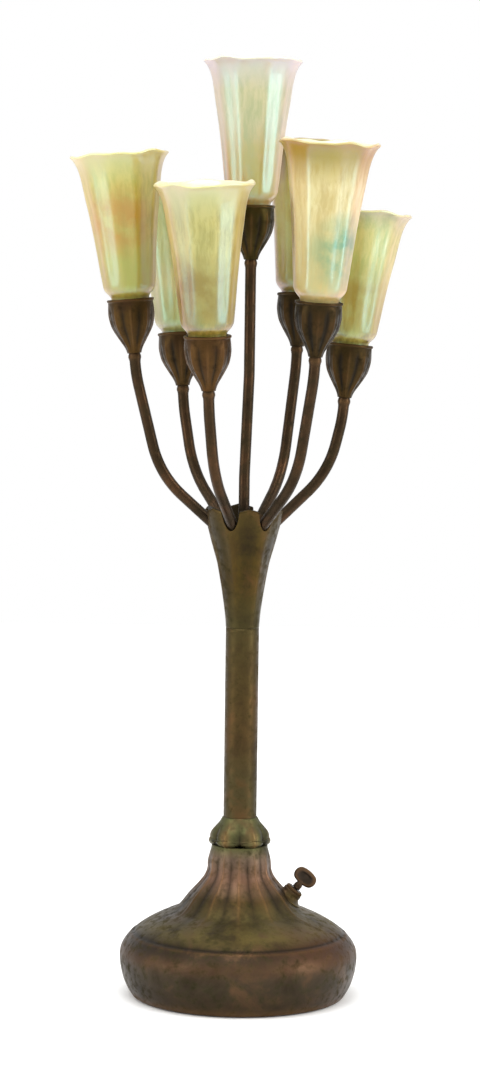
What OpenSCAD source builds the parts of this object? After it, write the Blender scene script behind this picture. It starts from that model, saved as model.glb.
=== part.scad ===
// Table lamp with seven tulip shades on bronze stems.
// Millimetres, +Z up, origin at the centre of the foot on the table.
// One stem stands on the axis; six more stand round it, alternately low and high.

/* [Foot] */
// Widest diameter of the foot casting
base_d = 204; // [194:1:214]
// Height of the widest part above the table
belly_z = 36; // [28:1:42]
// Diameter of the ring that the casting ends in at the bottom
foot_d = 181; // [172:1:188]
// Radius at the middle of the sloping shoulder
slope_r = 58.5; // [54:0.5:64]
// Height at the middle of the sloping shoulder
slope_z = 73; // [68:1:76]
// Radius where the neck turns out into the shoulder
shoulder_r = 43.5; // [41:0.5:46]
// Height where the neck turns out into the shoulder
shoulder_z = 87; // [84:1:92]
// Widest diameter of the neck
neck_d = 53; // [50:1:58]
// Height of the top of the neck, where the collar sits
base_h = 131; // [124:1:140]
// Thickness of the cast walls
cast_wall = 3.2; // [2.5:0.1:4.5]

/* [Underside] */
// Thickness of the felt
felt_t = 2; // [1.5:0.1:3]
// How far the felt stands below the casting
felt_proud = 1; // [0.5:0.1:1.4]
// Thickness of the bottom plate
plate_t = 3; // [2.5:0.1:4]
// Diameter of the iron weight
ballast_d = 138; // [108:1:140]
// Height of the iron weight
ballast_h = 20; // [12:1:26]
// Number of screws that hold the bottom plate
plate_screws_n = 4; // [3:1:6]
// Thread diameter of those screws
plate_screw_d = 4; // [3:0.5:5]

/* [Column] */
// Diameter of the column
column_d = 28.4; // [27.4:0.2:30]
// Wall of the column tube
column_wall = 2; // [1.2:0.1:2.2]
// Length of the column
column_len = 187; // [150:1:220]
// Diameter of the collar's lip
collar_d = 52; // [48:1:58]
// Height of the collar
collar_h = 24; // [19:1:28]
// Height of the flared capital above the column
capital_h = 100; // [92:1:108]
// Diameter of the capital's mouth
mouth_d = 67; // [60:1:70]
// Diameter of the threaded tie rod
rod_d = 9.7; // [9:0.1:10.5]

/* [Stems] */
// Diameter of each stem tube
stem_d = 9.3; // [8.3:0.1:9.7]
// Wall of each stem tube
stem_wall = 1; // [0.7:0.1:1.2]
// Radius of the circle on which the six stems leave the hub
hub_ring_r = 12; // [11.6:0.1:12.4]
// Direction of each outer stem round the column, in degrees
stem_turn = [7, 62, 130, 187, 249, 307];
// How much higher or lower than its tier each outer cup stands, because the stems are bent by hand
cup_rise = [-4, 1, 3, -5, 3, -5];
// Height of the foot of the middle cup above the column
middle_cup_up = 313; // [285:1:340]
// Height of the feet of the three low cups above the column
low_cup_up = 201; // [197:1:215]
// Height of the feet of the three high cups above the column
high_cup_up = 238; // [228:1:260]
// How far the middle cup stands off the axis, because its stem sways a little
middle_reach = 3; // [1:0.5:5]
// Distance of the low cups from the axis, at their feet
low_reach = 85; // [80:1:90]
// Distance of the high cups from the axis, at their feet
high_reach = 95; // [90:1:101]
// Outward lean of the outer cups, in degrees
cup_lean = 5; // [3:0.5:7]
// Lean of the low stems as they leave the capital, in degrees
low_fan = 46; // [45:1:50]
// Lean of the high stems as they leave the capital, in degrees
high_fan = 48; // [45:1:52]
// Lean of the stems on their long straight, in degrees
rise_lean = 14; // [12:0.5:16]

/* [Cups and lights] */
// Height of each cup
cup_h = 46; // [43:1:50]
// Wall of each cup
cup_wall = 1.9; // [1.4:0.1:2.4]
// Diameter of each bulb's glass
bulb_d = 22; // [20:0.5:24]
// Length of each bulb's glass
bulb_len = 50; // [42:1:56]
// Diameter of the bulb's screw base
bulb_base_d = 11.9; // [11:0.1:13]
// Diameter of each socket
socket_d = 20; // [19:0.2:22]
// Length of each socket's barrel
socket_len = 24; // [20:0.5:26]

/* [Shades] */
// Diameter of the mouth
shade_mouth_d = 82.5; // [76:0.5:88]
// Diameter where the lip starts to turn out
shade_throat_d = 61; // [56:0.5:66]
// Diameter just above the cup
shade_low_d = 44; // [42:0.5:48]
// Height of the shade above the cup
shade_h = 120; // [108:1:132]
// How much longer or shorter than that each blown shade came out, from the middle one on
shade_extra = [0, -9, 9, 3, 0, 3, 9];
// Height at which the lip starts to turn out
throat_z = 82; // [72:1:92]
// Length of the neck inside the cup
shade_neck_len = 14; // [10:0.5:16]
// Thickness of the glass
glass_t = 2.2; // [1.8:0.1:2.6]

/* [Switch] */
// Tilt of the switch from upright, in degrees
switch_tilt = 40; // [36:1:48]
// Diameter of the boss that the switch passes through
boss_d = 17; // [15:0.5:19]
// How far the boss stands out of the casting
boss_out = 5; // [3:0.5:7]
// Width of the key's paddle
key_w = 21; // [16:0.5:23]
// Height of the key's paddle
key_h = 14; // [11:0.5:16]

/* [Cord outlet] */
// Bore of the bushing that the cord leaves by
outlet_d = 7; // [6:0.1:8]
// Height of the cord outlet
outlet_z = 15; // [13:0.5:17]

/* [Hidden] */
$fn = 64;
fit = 0.05;      // radial clearance of pieces that are fixed in one another
clear = 0.4;     // clearance of loose pieces
eps = 0.5;       // how far a cutter runs past a face
curve_n = 8;     // spans in one curve of a profile

// Curves and outlines --------------------------------------------------
function bezier(p) = [for (i = [0:curve_n]) let (t = i / curve_n, u = 1 - t)
    u*u*u*p[0] + 3*u*u*t*p[1] + 3*u*t*t*p[2] + t*t*t*p[3]];
function tail(v) = [for (i = [1:len(v) - 1]) v[i]];
function backwards(v) = [for (i = [len(v) - 1:-1:0]) v[i]];
function above(v, z) = [for (p = v) if (p[1] > z) p];
function below(v, z) = [for (p = v) if (p[1] < z) p];
// The outline moved inwards by t, for an outline that climbs on its right-hand side
function inset(v, t) = [for (i = [0:len(v) - 1])
    let (d = v[min(i + 1, len(v) - 1)] - v[max(i - 1, 0)]) v[i] + t * [-d[1], d[0]] / norm(d)];
// Radius of an outline at height z
function radius_at(v, z) = let (i = max([for (j = [0:len(v) - 2]) if (v[j][1] <= z) j]))
    v[i][0] + (v[i + 1][0] - v[i][0]) * (z - v[i][1]) / (v[i + 1][1] - v[i][1]);

module ring(od, id, h) rotate_extrude() translate([id / 2, 0]) square([(od - id) / 2, h]);
module hex(across, h) cylinder(d = across / cos(30), h = h, $fn = 6);

// Foot -----------------------------------------------------------------
stem_r = stem_d / 2;
stem_bore_r = stem_r - stem_wall;
foot_r = foot_d / 2;
belly_r = base_d / 2;
neck_r = neck_d / 2;
neck_top_r = neck_r - 2.5;
neck_foot_z = (base_h + shoulder_z) / 2;       // where the neck starts to widen
shoulder_dir = [cos(switch_tilt - 90), sin(switch_tilt - 90)];
slope_dir = [0.94, -0.34];
shoulder_lead = 0.35 * norm([slope_r - shoulder_r, slope_z - shoulder_z]);
foot_line = concat(
    bezier([[foot_r, felt_proud], [foot_r + 5, 6], [belly_r, belly_z - 16], [belly_r, belly_z]]),
    tail(bezier([[belly_r, belly_z], [belly_r, belly_z + 15],
                 [slope_r, slope_z] + 24 * slope_dir, [slope_r, slope_z]])),
    tail(bezier([[slope_r, slope_z], [slope_r, slope_z] - shoulder_lead * slope_dir,
                 [shoulder_r, shoulder_z] + shoulder_lead * shoulder_dir, [shoulder_r, shoulder_z]])),
    tail(bezier([[shoulder_r, shoulder_z], [shoulder_r, shoulder_z] - 13 * shoulder_dir,
                 [neck_r, neck_foot_z - 6], [neck_r, neck_foot_z + 4]])),
    tail(bezier([[neck_r, neck_foot_z + 4], [neck_r, base_h - 9], [neck_top_r, base_h - 4],
                 [neck_top_r, base_h]])));

plate_z = felt_t;
plate_top = plate_z + plate_t;
plate_r = foot_r - 6;
ledge_w = 4;                                   // the ledge that the plate is screwed against
ledge_h = 4;
lug_r = 1.5 * plate_screw_d;
lug_h = 12;
lug_ring_r = plate_r - ledge_w - 3;
flange_t = 6;                                  // top of the neck, which the tie rod clamps
foot_inner = above(inset(foot_line, cast_wall), plate_top + ledge_h + 6);
bore_r = column_d / 2 - column_wall;           // the passage for the leads, all the way up

function lug_turn(i) = 45 + 360 * i / plate_screws_n;

module foot_solid() rotate_extrude() polygon(concat([[0, felt_proud]], foot_line, [[0, base_h]]));

module foot_hollow() rotate_extrude() polygon(concat(
    [[0, felt_proud - eps], [plate_r + fit, felt_proud - eps], [plate_r + fit, plate_top],
     [plate_r - ledge_w, plate_top], [plate_r - ledge_w, plate_top + ledge_h]],
    below(foot_inner, base_h - flange_t),
    [[radius_at(foot_inner, base_h - flange_t), base_h - flange_t], [bore_r, base_h - flange_t],
     [bore_r, base_h + eps], [0, base_h + eps]]));

// The switch stands square to the shoulder, on the right-hand side
boss_in = 8;                                   // depth of the boss behind the skin
module at_switch() translate([shoulder_r, 0, shoulder_z]) rotate([0, switch_tilt, 0]) children();

nipple_d = 10;
bushing_d = outlet_d + 3;
bushing_head_d = bushing_d + 4;
bushing_head_t = 2.4;
outlet_face = radius_at(foot_line, outlet_z - bushing_head_d / 2) - 0.6;
outlet_pad_t = 6.5;
outlet_nut_w = bushing_d + 5;                  // across the flats
outlet_nut_t = 3;
outlet_barrel = 5;                             // how far the bushing's barrel stands behind the pad
// The cord outlet points to the back
module at_outlet() translate([0, outlet_face, outlet_z]) rotate([-90, 0, 0]) children();

module base_shell() color("#5c4a33") difference() {
    union() {
        difference() {
            foot_solid();
            foot_hollow();
        }
        intersection() {
            foot_solid();
            union() {
                for (i = [0:plate_screws_n - 1]) rotate(lug_turn(i))
                    translate([lug_ring_r, 0, plate_top]) cylinder(r = lug_r, h = lug_h);
                at_outlet() translate([0, 0, -outlet_pad_t])
                    cylinder(d = bushing_head_d + 4, h = outlet_pad_t);
            }
        }
        at_switch() translate([0, 0, -boss_in]) cylinder(d = boss_d, h = boss_in + boss_out);
    }
    for (i = [0:plate_screws_n - 1]) rotate(lug_turn(i))
        translate([lug_ring_r, 0, plate_top - eps]) cylinder(d = plate_screw_d + 2 * fit, h = lug_h - 2);
    at_switch() translate([0, 0, -boss_in - eps])
        cylinder(d = nipple_d + 2 * fit, h = boss_in + boss_out + 2 * eps);
    at_outlet() {
        translate([0, 0, -outlet_pad_t - eps])
            cylinder(d = bushing_d + 2 * fit, h = outlet_pad_t + 2 * eps);
        cylinder(d = bushing_head_d + 2 * clear, h = 2 * outlet_pad_t);
        // flat seat for the nut, and room for the barrel
        translate([0, 0, -outlet_pad_t - outlet_barrel - 4])
            cylinder(d = outlet_nut_w / cos(30) + 2 * clear, h = outlet_barrel + 4);
    }
}

module felt_pad() color("#1f3a2a") cylinder(r = plate_r - 1, h = felt_t);

module screw_places() for (i = [0:plate_screws_n - 1]) rotate(lug_turn(i))
    translate([lug_ring_r, 0, plate_z]) children();
screw_head_t = plate_screw_d / 2;

module bottom_plate() color("#8a8a86") difference() {
    translate([0, 0, plate_z]) cylinder(r = plate_r, h = plate_t);
    screw_places() {
        translate([0, 0, -eps]) cylinder(d = plate_screw_d + 2 * clear, h = plate_t + 2 * eps);
        translate([0, 0, -fit]) cylinder(d1 = 2 * plate_screw_d + 2 * clear,
                                         d2 = plate_screw_d + 2 * clear, h = screw_head_t);
    }
}

module plate_screws() color("#b8b4a8") screw_places() difference() {
    union() {
        cylinder(d1 = 2 * plate_screw_d, d2 = plate_screw_d, h = screw_head_t);
        cylinder(d = plate_screw_d, h = plate_t + lug_h - 4);
    }
    translate([-plate_screw_d, -0.5, -eps]) cube([2 * plate_screw_d, 1, 1 + eps]);
}

ballast_bore_d = 34;                           // leaves the middle free for the leads
module ballast() color("#3c3c3e") difference() {
    translate([0, 0, plate_top]) ring(ballast_d, ballast_bore_d, ballast_h);
    for (i = [0:plate_screws_n - 1]) rotate(lug_turn(i))
        translate([lug_ring_r, 0, plate_top - eps]) cylinder(r = lug_r + clear, h = lug_h + clear + eps);
}

// Cord outlet ----------------------------------------------------------
module cord_bushing() color("#2b2622") at_outlet() difference() {
    union() {
        cylinder(d = bushing_head_d, h = bushing_head_t);
        translate([0, 0, -outlet_pad_t - outlet_barrel])
            cylinder(d = bushing_d, h = outlet_pad_t + outlet_barrel);
    }
    translate([0, 0, -outlet_pad_t - outlet_barrel - eps])
        cylinder(d = outlet_d, h = outlet_pad_t + outlet_barrel + bushing_head_t + 2 * eps);
}

module bushing_nut() color("#8f7a4a") at_outlet() translate([0, 0, -outlet_pad_t - outlet_nut_t]) difference() {
    hex(outlet_nut_w, outlet_nut_t);
    translate([0, 0, -eps]) cylinder(d = bushing_d + 2 * fit, h = outlet_nut_t + 2 * eps);
}

// Rotary switch --------------------------------------------------------
switch_nut_t = 3;
switch_len = 15;                               // of the switch's body behind the boss
spindle_d = 4;
key_gap = 0.6;                                 // between the key's hub and the nut
key_hub_h = 7;
key_t = 3.4;                                   // thickness of the paddle
nipple_end = boss_out + switch_nut_t;
spindle_end = nipple_end + key_hub_h + 2;

module switch_body() color("#2a2725") at_switch() {
    translate([0, 0, -boss_in - switch_len]) cylinder(d = 25, h = switch_len);
    difference() {
        translate([0, 0, -boss_in]) cylinder(d = nipple_d, h = boss_in + nipple_end);
        translate([0, 0, -boss_in]) cylinder(d = spindle_d + 2 * fit, h = boss_in + nipple_end + eps);
    }
}

module switch_nut() color("#7a6440") at_switch() translate([0, 0, boss_out]) difference() {
    union() {
        cylinder(d = boss_d - 1, h = switch_nut_t - 1);
        cylinder(d = boss_d - 4, h = switch_nut_t);
    }
    translate([0, 0, -eps]) cylinder(d = nipple_d + 2 * fit, h = switch_nut_t + 2 * eps);
}

// The key: a spindle, a round hub and a flat paddle with round ends
module switch_key() color("#4c3d2b") at_switch() {
    translate([0, 0, -boss_in + clear]) cylinder(d = spindle_d, h = boss_in - clear + spindle_end);
    translate([0, 0, nipple_end + key_gap]) cylinder(d = 7, h = key_hub_h);
    translate([0, key_t / 2, nipple_end + key_gap + key_hub_h - 2 + key_h / 2]) rotate([90, 0, 0])
        linear_extrude(key_t) {
            for (s = [-1, 1]) translate([s * (key_w - key_h) / 2, 0]) circle(d = key_h);
            square([key_w - key_h, key_h], center = true);
        }
}

// Column ---------------------------------------------------------------
column_top = base_h + column_len;
capital_top = column_top + capital_h;
middle_cup_z = column_top + middle_cup_up;
low_cup_z = column_top + low_cup_up;
high_cup_z = column_top + high_cup_up;
column_r = column_d / 2;
collar_r = collar_d / 2;
mouth_r = mouth_d / 2;

module column() color("#56452f") translate([0, 0, base_h]) ring(column_d, 2 * bore_r, column_len);

// A bell-shaped collar of six sepals turned down over the neck
collar_gap = 5;                                // width of the gap between two sepals
collar_line = concat(
    [[neck_top_r - 1, 0], [collar_r - 1.2, 0.8], [collar_r, 2.6], [collar_r, 4.4], [collar_r - 0.9, 6]],
    tail(bezier([[collar_r - 0.9, 6], [collar_r - 1, 0.58 * collar_h], [column_r + 5, 0.62 * collar_h],
                 [column_r + 1, collar_h - 0.5]])));
module collar() color("#4d3d2a") translate([0, 0, base_h]) difference() {
    rotate_extrude() polygon(concat([[column_r + fit, 0]], collar_line, [[column_r + fit, collar_h]]));
    for (i = [0:5]) rotate(30 + 60 * i) translate([collar_r + 1, 0, 4]) rotate([0, -25, 0])
        translate([0, 0, -collar_h / 2]) cylinder(d = collar_gap, h = 2 * collar_h);
}

// Capital: a flared casting that stands in the column and opens under the stems
flare_h = 0.55 * capital_h;                    // of the capital below the seat of the hub
hub_z = column_top + flare_h;
hub_t = 10;
spigot = 10;
spigot_wall = 1.6;
spigot_chamfer = 4;
stem_room = 1.6;                               // round a stem in its notch
hub_r = hub_ring_r + stem_r + 1.2;
capital_wall = 2.9;
hub_seat_r = hub_r + capital_wall + 0.6;       // outside of the casting at the seat
capital_line = concat(
    bezier([[column_r, column_top], [column_r + 0.3, column_top + 0.25 * flare_h],
            [hub_seat_r - 2.6, hub_z - 0.25 * flare_h], [hub_seat_r, hub_z]]),
    tail(bezier([[hub_seat_r, hub_z], [hub_seat_r + 2.6, hub_z + 12],
                 [mouth_r - 3.6, capital_top - 18], [mouth_r, capital_top]])));
capital_inner = above(inset(capital_line, capital_wall), hub_z + hub_t);
bend_z = hub_z + hub_t + 1;                    // where the outer stems start to bend

module capital() color("#56452f") difference() {
    rotate_extrude() polygon(concat(
        [[bore_r - spigot_wall, column_top - spigot], [bore_r - fit, column_top - spigot],
         [bore_r - fit, column_top], [column_r, column_top]],
        tail(capital_line),
        [[mouth_r - capital_wall, capital_top]], backwards(below(capital_inner, capital_top)),
        [[hub_r + fit, hub_z + hub_t], [hub_r + fit, hub_z], [bore_r - 0.2, hub_z],
         [bore_r - 0.2, column_top + spigot_chamfer], [bore_r - spigot_wall, column_top + spigot_chamfer / 2]]));
    // one notch for each outer stem, along its first two bends
    for (k = [2:7]) rotate(turn(k)) translate([hub_ring_r, 0, bend_z])
        run([for (i = [1:3]) stem_run(k, bend_z)[i]], stem_r + stem_room);
    // and a groove through the spigot for each outer stem's lead
    lead_holes(column_top - spigot - eps, spigot + spigot_chamfer + 2 * eps);
}

module stem_hub() color("#9a7b45") difference() {
    union() {
        translate([0, 0, hub_z]) cylinder(r = hub_r, h = hub_t);
        translate([0, 0, hub_z - 10]) cylinder(d = rod_d + 6, h = 10);
    }
    translate([0, 0, hub_z - 10 - eps]) cylinder(d = rod_d + 2 * fit, h = 10 + eps);
    translate([0, 0, hub_z - 1]) cylinder(r = stem_bore_r, h = 4);
    translate([0, 0, hub_z + 2]) cylinder(r = stem_r + fit, h = hub_t);
    for (k = [2:7]) rotate(turn(k)) translate([hub_ring_r, 0, hub_z - eps])
        cylinder(r = stem_r + fit, h = hub_t + 2 * eps);
}

lead_r = 1.2;
lead_ring_r = bore_r - lead_r - 0.4;
// Tie rod and what it clamps
washer_t = 3;
nut_t = 5;
washer_z = base_h - flange_t - washer_t;
block_t = 12;
block_z = washer_z - 2 * nut_t - block_t - 4;
rod_foot = block_z - nut_t - 3;
block_r = lead_ring_r + lead_r + 2;

module tie_rod() color("#8f7a4a") translate([0, 0, rod_foot])
    ring(rod_d, 2 * rod_bore_r, hub_z - rod_foot);

module tie_nuts() color("#8f7a4a")
    for (z = [washer_z - nut_t, block_z - nut_t]) translate([0, 0, z]) difference() {
        hex(rod_d + 5, nut_t);
        translate([0, 0, -eps]) cylinder(d = rod_d + 2 * fit, h = nut_t + 2 * eps);
    }

module lead_holes(z, h) for (k = [2:7]) rotate(turn(k)) translate([lead_ring_r, 0, z])
    cylinder(r = lead_r + clear, h = h);

module neck_washer() color("#8a8a86") difference() {
    translate([0, 0, washer_z]) ring(2 * (bore_r + 7), rod_d + 2 * fit, washer_t);
    lead_holes(washer_z - eps, washer_t + 2 * eps);
}

module splice_block() color("#e4dfd2") difference() {
    translate([0, 0, block_z]) ring(2 * block_r, rod_d + 2 * fit, block_t);
    lead_holes(block_z + 4, block_t);
}

// Stems ----------------------------------------------------------------
stem_in = 16;                                  // how far a stem reaches into its cup
first_bend = 22;                               // radii of a stem's three bends
main_bend = 85;
last_bend = 130;
last_straight = 8;                             // below the foot of the cup
sway = 2;                                      // lean of the middle stem between its two slight bends
sway_from = bend_z + 0.25 * (middle_cup_z - bend_z);
sway_straight = (middle_reach - 2 * last_bend * (1 - cos(sway))) / sin(sway);
sway_top = sway_from + 2 * last_bend * sin(sway) + sway_straight * cos(sway);

// Arm 1 stands on the axis, arms 2 to 7 round it
function turn(k) = k == 1 ? 0 : stem_turn[k - 2];
function high(k) = k % 2 == 1;
function fan(k) = high(k) ? high_fan : low_fan;
function reach(k) = k == 1 ? middle_reach : high(k) ? high_reach : low_reach;
function cup_z(k) = k == 1 ? middle_cup_z : (high(k) ? high_cup_z : low_cup_z) + cup_rise[k - 2];
function lean(k) = k == 1 ? 0 : cup_lean;

// The two free straights that bring an outer stem to the foot of its cup
function straights(k) = let (
        f = fan(k), c = rise_lean, e = cup_lean, b = main_bend,
        out = reach(k) - hub_ring_r - first_bend * (1 - cos(f)) - b * (cos(c) - cos(f))
              - last_bend * (cos(e) - cos(c)) - last_straight * sin(e),
        up = cup_z(k) - bend_z - first_bend * sin(f) - b * (sin(f) - sin(c))
             - last_bend * (sin(c) - sin(e)) - last_straight * cos(e))
    [out * cos(c) - up * sin(c), up * sin(f) - out * cos(f)] / sin(f - c);

// A stem's run: [length] is a straight, [angle, radius] a bend, outwards when the angle is positive
function stem_run(k, foot_z) = k == 1 ?
    [[sway_from - foot_z], [sway, last_bend], [sway_straight], [-sway, last_bend],
     [middle_cup_z + stem_in - sway_top]] :
    let (s = straights(k)) [
        [bend_z - foot_z], [fan(k), first_bend], [s[0]], [rise_lean - fan(k), main_bend],
        [s[1]], [cup_lean - rise_lean, last_bend], [last_straight + stem_in]];

// A hair of extra radius where a straight meets a bend, so that their surfaces never coincide
sleeve = 0.03;
sleeve_len = 1;
module run(steps, r, shift = 0, over = 0, i = 0) if (i < len(steps)) {
    s = steps[i];
    if (i > 0) translate([0, 0, -sleeve_len / 2]) cylinder(r = r + sleeve, h = sleeve_len);
    if (len(s) == 1) {
        from = i == 0 ? -over : sleeve_len / 10;
        to = i == len(steps) - 1 ? s[0] + over : s[0] - sleeve_len / 10;
        translate([0, 0, from]) cylinder(r = r, h = to - from);
        translate([0, 0, s[0]]) run(steps, r, shift, over, i + 1);
    } else {
        side = sign(s[0]);
        a = abs(s[0]);
        b = s[1] + side * shift;
        mirror([side > 0 ? 1 : 0, 0, 0]) translate([-b, 0, 0]) rotate([90, 0, 0])
            rotate_extrude(angle = a) translate([b, 0]) circle(r);
        translate([side * b * (1 - cos(a)), 0, b * sin(a)]) rotate([0, s[0], 0])
            run(steps, r, shift, over, i + 1);
    }
}

function stem_foot(k) = k == 1 ? hub_z + 2 : hub_z;
module stem(k) color("#56452f") rotate(turn(k))
    translate([k == 1 ? 0 : hub_ring_r, 0, stem_foot(k)]) difference() {
        run(stem_run(k, stem_foot(k)), stem_r);
        run(stem_run(k, stem_foot(k)), stem_bore_r, 0, eps);
    }

// Leads: one for each socket, up the column and inside the stem
rod_bore_r = rod_d / 2 - 1.6;
lead_shift = hub_ring_r - lead_ring_r;
module stem_leads() color("#c9a24a") for (k = [1:7]) rotate(turn(k)) {
    z = k == 1 ? rod_foot : block_z + 4;
    translate([k == 1 ? 0 : lead_ring_r, 0, z]) run(stem_run(k, z), lead_r, k == 1 ? 0 : lead_shift);
}

// Two leads from the splice block to the back of the switch
module switch_leads() color("#c9a24a") for (y = [-3, 3]) {
    inward = [-sin(switch_tilt), -cos(switch_tilt)];
    back = [shoulder_r, shoulder_z] + (boss_in + switch_len) * inward;
    from = [block_r - lead_r - 1, block_z];
    dip = back + 8 * inward;
    route = [from, [from[0], dip[1] + 12], [(from[0] + dip[0]) / 2, dip[1] + 1.5], dip, back];
    for (i = [0:len(route) - 2]) wire([route[i][0], y, route[i][1]], [route[i + 1][0], y, route[i + 1][1]]);
    for (i = [1:len(route) - 2]) translate([route[i][0], y, route[i][1]]) sphere(lead_r + sleeve);
}
module wire(a, b) translate(a) rotate([0, atan2(b[0] - a[0], b[2] - a[2]), 0])
    cylinder(r = lead_r, h = norm(b - a));

// Cups and lights: heights are from the foot of the cup -----------------
module on_arm(k) rotate(turn(k)) translate([reach(k), 0, cup_z(k)]) rotate([0, lean(k), 0]) children();

neck_bore_r = bulb_d / 2 + 2.8;                // the shade lifts over the bulb
shade_neck_r = neck_bore_r + glass_t;
cup_bore_r = shade_neck_r + 1.1;
cup_r = cup_bore_r + cup_wall;
seat_t = 2;
seat_z = cup_h - shade_neck_len - seat_t;      // the ledge that carries the shade
seat_bore_r = socket_d / 2 + 1.8;
cup_floor = 6;
cup_line = concat(
    bezier([[stem_r + 1.3, 0], [stem_r + 2.2, 0.17 * cup_h], [cup_r - 6, 0.3 * cup_h], [cup_r - 2.2, cup_h / 2]]),
    tail(bezier([[cup_r - 2.2, cup_h / 2], [cup_r, 0.65 * cup_h], [cup_r + 0.2, cup_h - 8], [cup_r, cup_h - 2.6]])));
cup_inner = below(above(inset(cup_line, cup_wall), cup_floor + 1), seat_z - 4);

module cup(k) color("#46351f") on_arm(k) {
    rotate_extrude() polygon(concat(
        [[stem_r + fit, 0]], cup_line,
        [[cup_r + 0.7, cup_h - 1.8], [cup_r + 0.7, cup_h - 0.7], [cup_r, cup_h], [cup_bore_r, cup_h],
         [cup_bore_r, seat_z], [seat_bore_r, seat_z], [seat_bore_r, seat_z - 2]],
        backwards(cup_inner),
        [[stem_r + 3, cup_floor], [stem_r + fit, cup_floor]]));
}

module shade_seats() color("#26211d") for (k = [1:7]) on_arm(k)
    translate([0, 0, seat_z]) ring(2 * (cup_bore_r - 0.1), 2 * seat_bore_r, seat_t);

socket_z = stem_in + 2;                        // the barrel stands on the end of the stem
base_len = 14;
module socket(k) color("#1d1b1a") on_arm(k) difference() {
    union() {
        translate([0, 0, stem_in - 6]) cylinder(r = stem_r + 2, h = 8);
        translate([0, 0, socket_z]) cylinder(d = socket_d, h = socket_len);
    }
    translate([0, 0, stem_in - 6 - eps]) cylinder(r = stem_r + fit, h = 6 + eps);
    translate([0, 0, stem_in - 1]) cylinder(r = stem_bore_r, h = 4);
    translate([0, 0, socket_z + socket_len - base_len])
        cylinder(d = bulb_base_d + 2 * fit, h = base_len + eps);
}

bulb_z = socket_z + socket_len;                // where the glass meets the socket
bulb_r = bulb_d / 2;
bulb_base_r = bulb_base_d / 2;
bulb_line = concat(
    bezier([[bulb_base_r, 0], [bulb_base_r + 0.4, 5], [bulb_r, 8], [bulb_r, 0.38 * bulb_len]]),
    tail(bezier([[bulb_r, 0.38 * bulb_len], [bulb_r, 0.68 * bulb_len],
                 [0.36 * bulb_r, 0.9 * bulb_len], [0, bulb_len]])));
module bulb(k) color("#f4ecd2") on_arm(k) translate([0, 0, bulb_z]) rotate_extrude() polygon(concat(
    [[0, 1 - base_len], [bulb_base_r - 1, 1 - base_len], [bulb_base_r, 3 - base_len]], bulb_line));

// Shades: heights are from the rim of the cup ---------------------------
shade_low_z = 11;
shade_low_r = shade_low_d / 2;
throat_r = shade_throat_d / 2;
shade_mouth_r = shade_mouth_d / 2;
function shade_line(k) = let (
        throat = throat_z + shade_extra[k - 1], top = shade_h + shade_extra[k - 1],
        body = throat - shade_low_z, lip = top - throat)
    concat(
        [[shade_neck_r, -shade_neck_len]],
        bezier([[shade_neck_r, 0.6], [shade_neck_r + 0.6, 4], [shade_low_r - 1, 5],
                [shade_low_r, shade_low_z]]),
        tail(bezier([[shade_low_r, shade_low_z], [shade_low_r + 2.1, shade_low_z + 0.32 * body],
                     [throat_r - 3.9, throat - 0.32 * body], [throat_r, throat]])),
        tail(bezier([[throat_r, throat], [throat_r + 2.4, throat + 0.37 * lip],
                     [throat_r + 2.9, top - 0.18 * lip], [shade_mouth_r, top]])));
module shade(k) color("#c9c98e") on_arm(k) translate([0, 0, cup_h]) rotate_extrude() {
    inner = inset(shade_line(k), glass_t);
    polygon(concat(shade_line(k), backwards(concat([[neck_bore_r, -shade_neck_len]], tail(inner)))));
}

felt_pad();
bottom_plate();
plate_screws();
ballast();
base_shell();
cord_bushing();
bushing_nut();
switch_body();
switch_nut();
switch_key();
collar();
column();
capital();
stem_hub();
tie_rod();
tie_nuts();
neck_washer();
splice_block();
stem_leads();
switch_leads();
shade_seats();
for (k = [1:7]) {
    stem(k);
    cup(k);
    socket(k);
    bulb(k);
    shade(k);
}
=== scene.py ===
# Table lamp with seven tulip shades on bronze stems, dressed for the picture.
# Metres, +Z up, the origin at the centre of the foot on the table.
import math

import bpy
import mathutils
import numpy as np
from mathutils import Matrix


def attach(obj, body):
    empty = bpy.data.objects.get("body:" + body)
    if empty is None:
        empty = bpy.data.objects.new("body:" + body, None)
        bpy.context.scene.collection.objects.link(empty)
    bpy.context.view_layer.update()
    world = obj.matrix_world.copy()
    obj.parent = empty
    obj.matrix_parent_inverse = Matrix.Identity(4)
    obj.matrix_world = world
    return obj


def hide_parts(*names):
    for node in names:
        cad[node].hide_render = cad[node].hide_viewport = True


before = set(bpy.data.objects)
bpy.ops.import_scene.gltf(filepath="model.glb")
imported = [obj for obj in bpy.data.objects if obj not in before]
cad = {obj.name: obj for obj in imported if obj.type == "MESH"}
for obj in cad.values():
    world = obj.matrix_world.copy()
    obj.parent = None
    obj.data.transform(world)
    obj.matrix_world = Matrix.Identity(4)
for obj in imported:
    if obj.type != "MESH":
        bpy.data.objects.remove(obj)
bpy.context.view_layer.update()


# ---------------------------------------------------------------------------
# Studio: a pale sweep of paper, daylight-white softboxes on both sides and one
# overhead, and a long lens a little above the middle of the lamp.
# ---------------------------------------------------------------------------
def colour(code):
    """Linear colour of an sRGB hex code: each channel is undone by the sRGB curve."""
    c = np.array([int(code[i:i + 2], 16) for i in (1, 3, 5)]) / 255
    return (*np.where(c <= 0.04045, c / 12.92, ((c + 0.055) / 1.055) ** 2.4), 1.0)


def feed(tree, node, inputs):
    """Sets each input of a node to its value, or links it where the value is another node's output."""
    for name, value in inputs.items():
        if isinstance(value, bpy.types.NodeSocket):
            tree.links.new(value, node.inputs[name])
        else:
            node.inputs[name].default_value = value


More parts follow.
